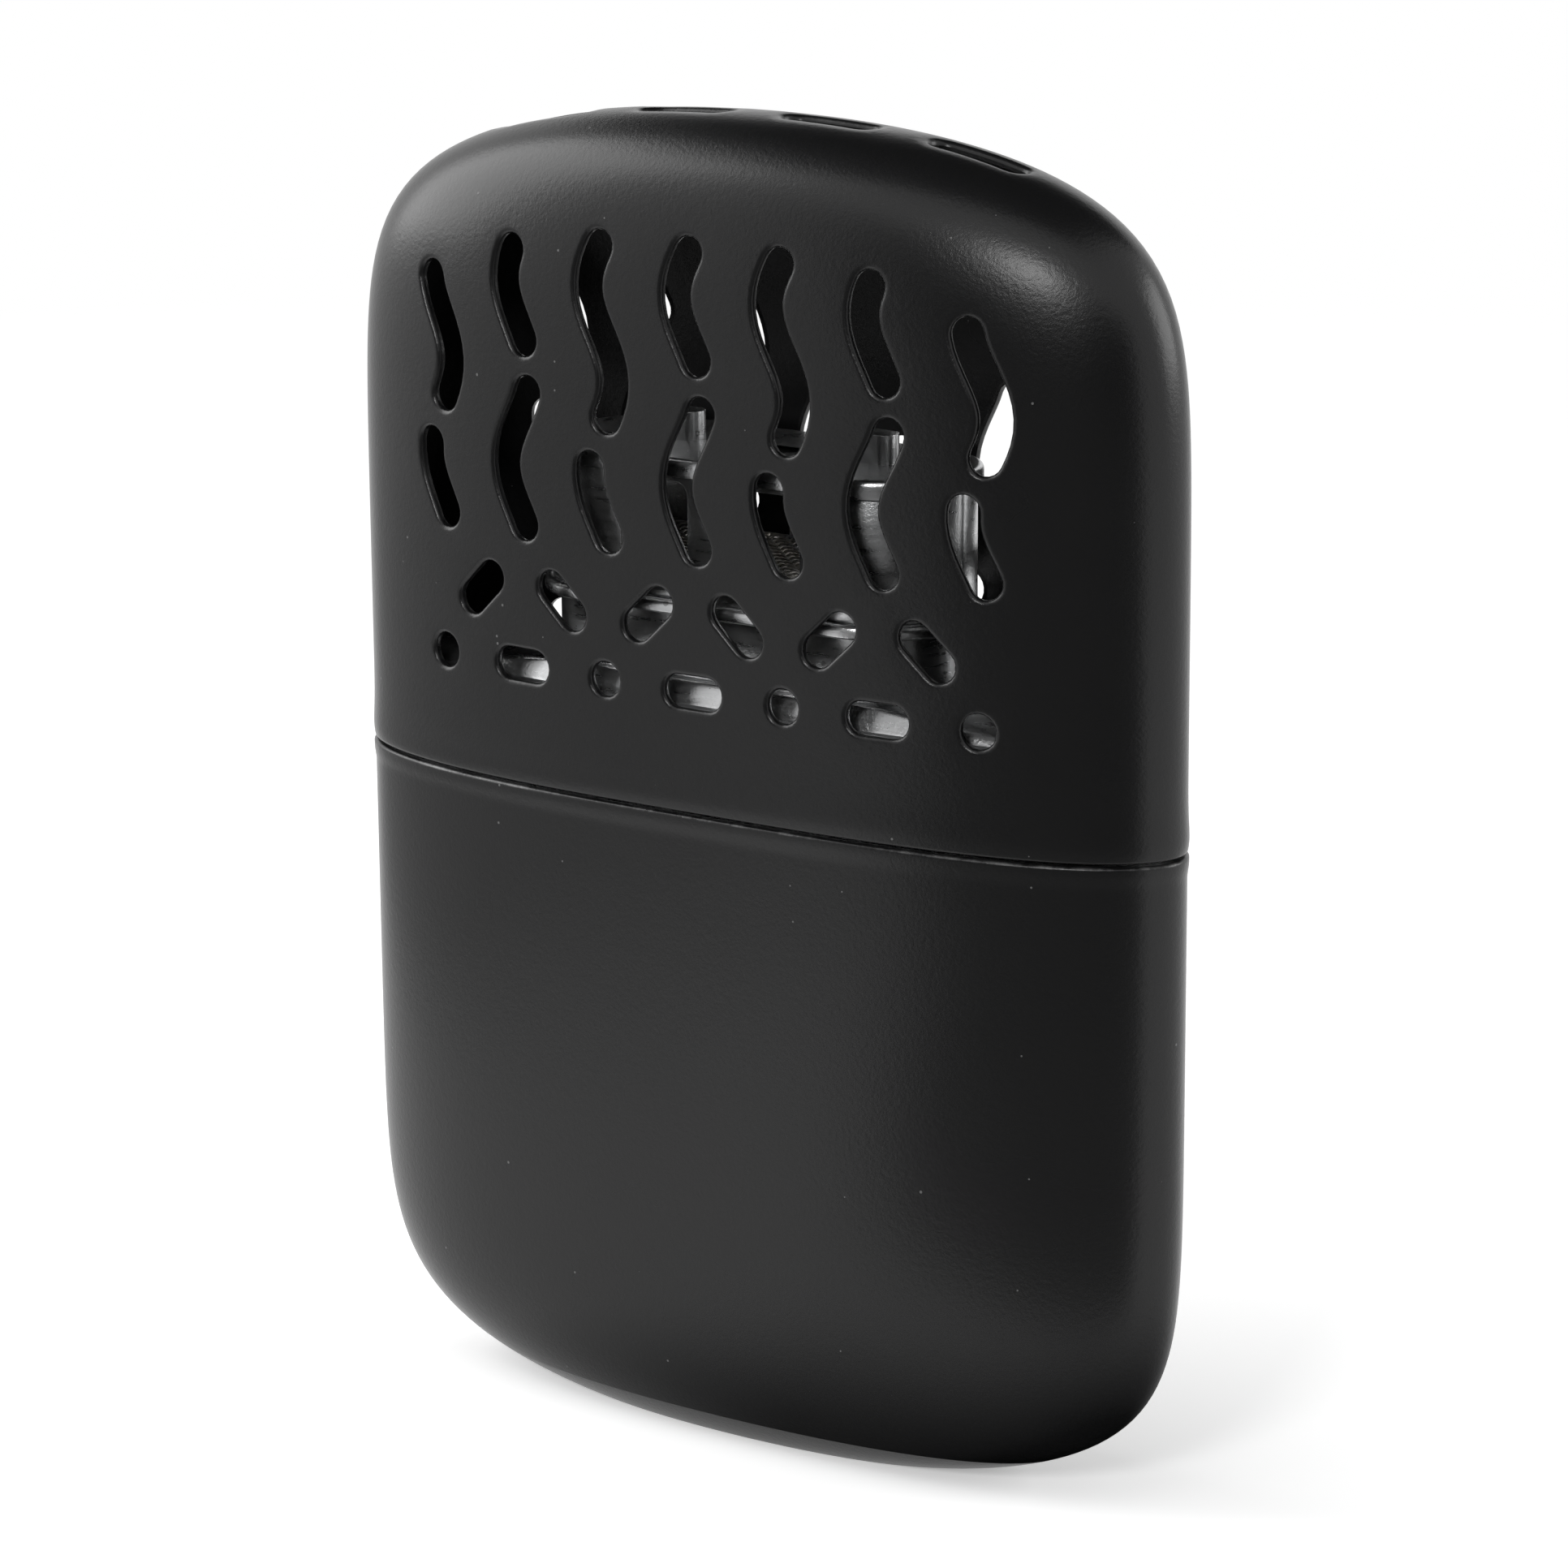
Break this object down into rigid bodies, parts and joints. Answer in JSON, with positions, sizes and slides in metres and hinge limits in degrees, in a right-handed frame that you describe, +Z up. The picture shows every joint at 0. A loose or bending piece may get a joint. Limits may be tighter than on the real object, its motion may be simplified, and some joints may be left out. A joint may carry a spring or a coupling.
{
  "type": "catalytic hand warmer",
  "caption": "Pocket catalytic hand warmer: drawn fuel tank, burner with a fibre catalyst on its mouth, and a pierced cover that pulls off upwards.",
  "frame": {"origin": "middle of the flat foot that the tank rests on, at the bottom of the object", "axes": "+Z up through the mouth and the cover, +X along the width, +Y from the front face to the back face"},
  "size_m": [0.0672, 0.017, 0.0928],
  "materials": {
    "black_paint": "matt black stoved paint with a fine orange-peel grain",
    "bright_plate": "bright plated sheet, slightly grained by drawing",
    "brass_plate": "plain pierced sheet",
    "steel_wire": "heat-dulled stainless steel",
    "felt": "pressed wool felt",
    "cotton": "absorbent cotton batting",
    "catalyst_fibre": "catalyst-coated glass-fibre mat"
  },
  "bodies": {
    "tank": {"tank_shell": "black_paint", "tank_top": "bright_plate", "tank_mouth": "bright_plate", "mouth_grid": "brass_plate", "mouth_felt": "felt", "cotton_front": "cotton", "cotton_middle": "cotton", "cotton_back": "cotton"},
    "burner": {"burner_skirt": "bright_plate", "burner_floor": "steel_wire", "support_screen": "steel_wire", "catalyst_mat": "catalyst_fibre", "mat_screen": "steel_wire", "cage_front": "bright_plate", "cage_back": "bright_plate", "cage_cap": "bright_plate"},
    "cover": {"cover_shell": "black_paint"}
  },
  "joints": [
    {"name": "cover_lift", "type": "slide", "parent": "tank", "child": "cover", "axis": [0, 0, 1], "range_m": [0, 0.055]},
    {"name": "burner_lift", "type": "slide", "parent": "tank", "child": "burner", "axis": [0, 0, 1], "range_m": [0, 0.012]}
  ]
}
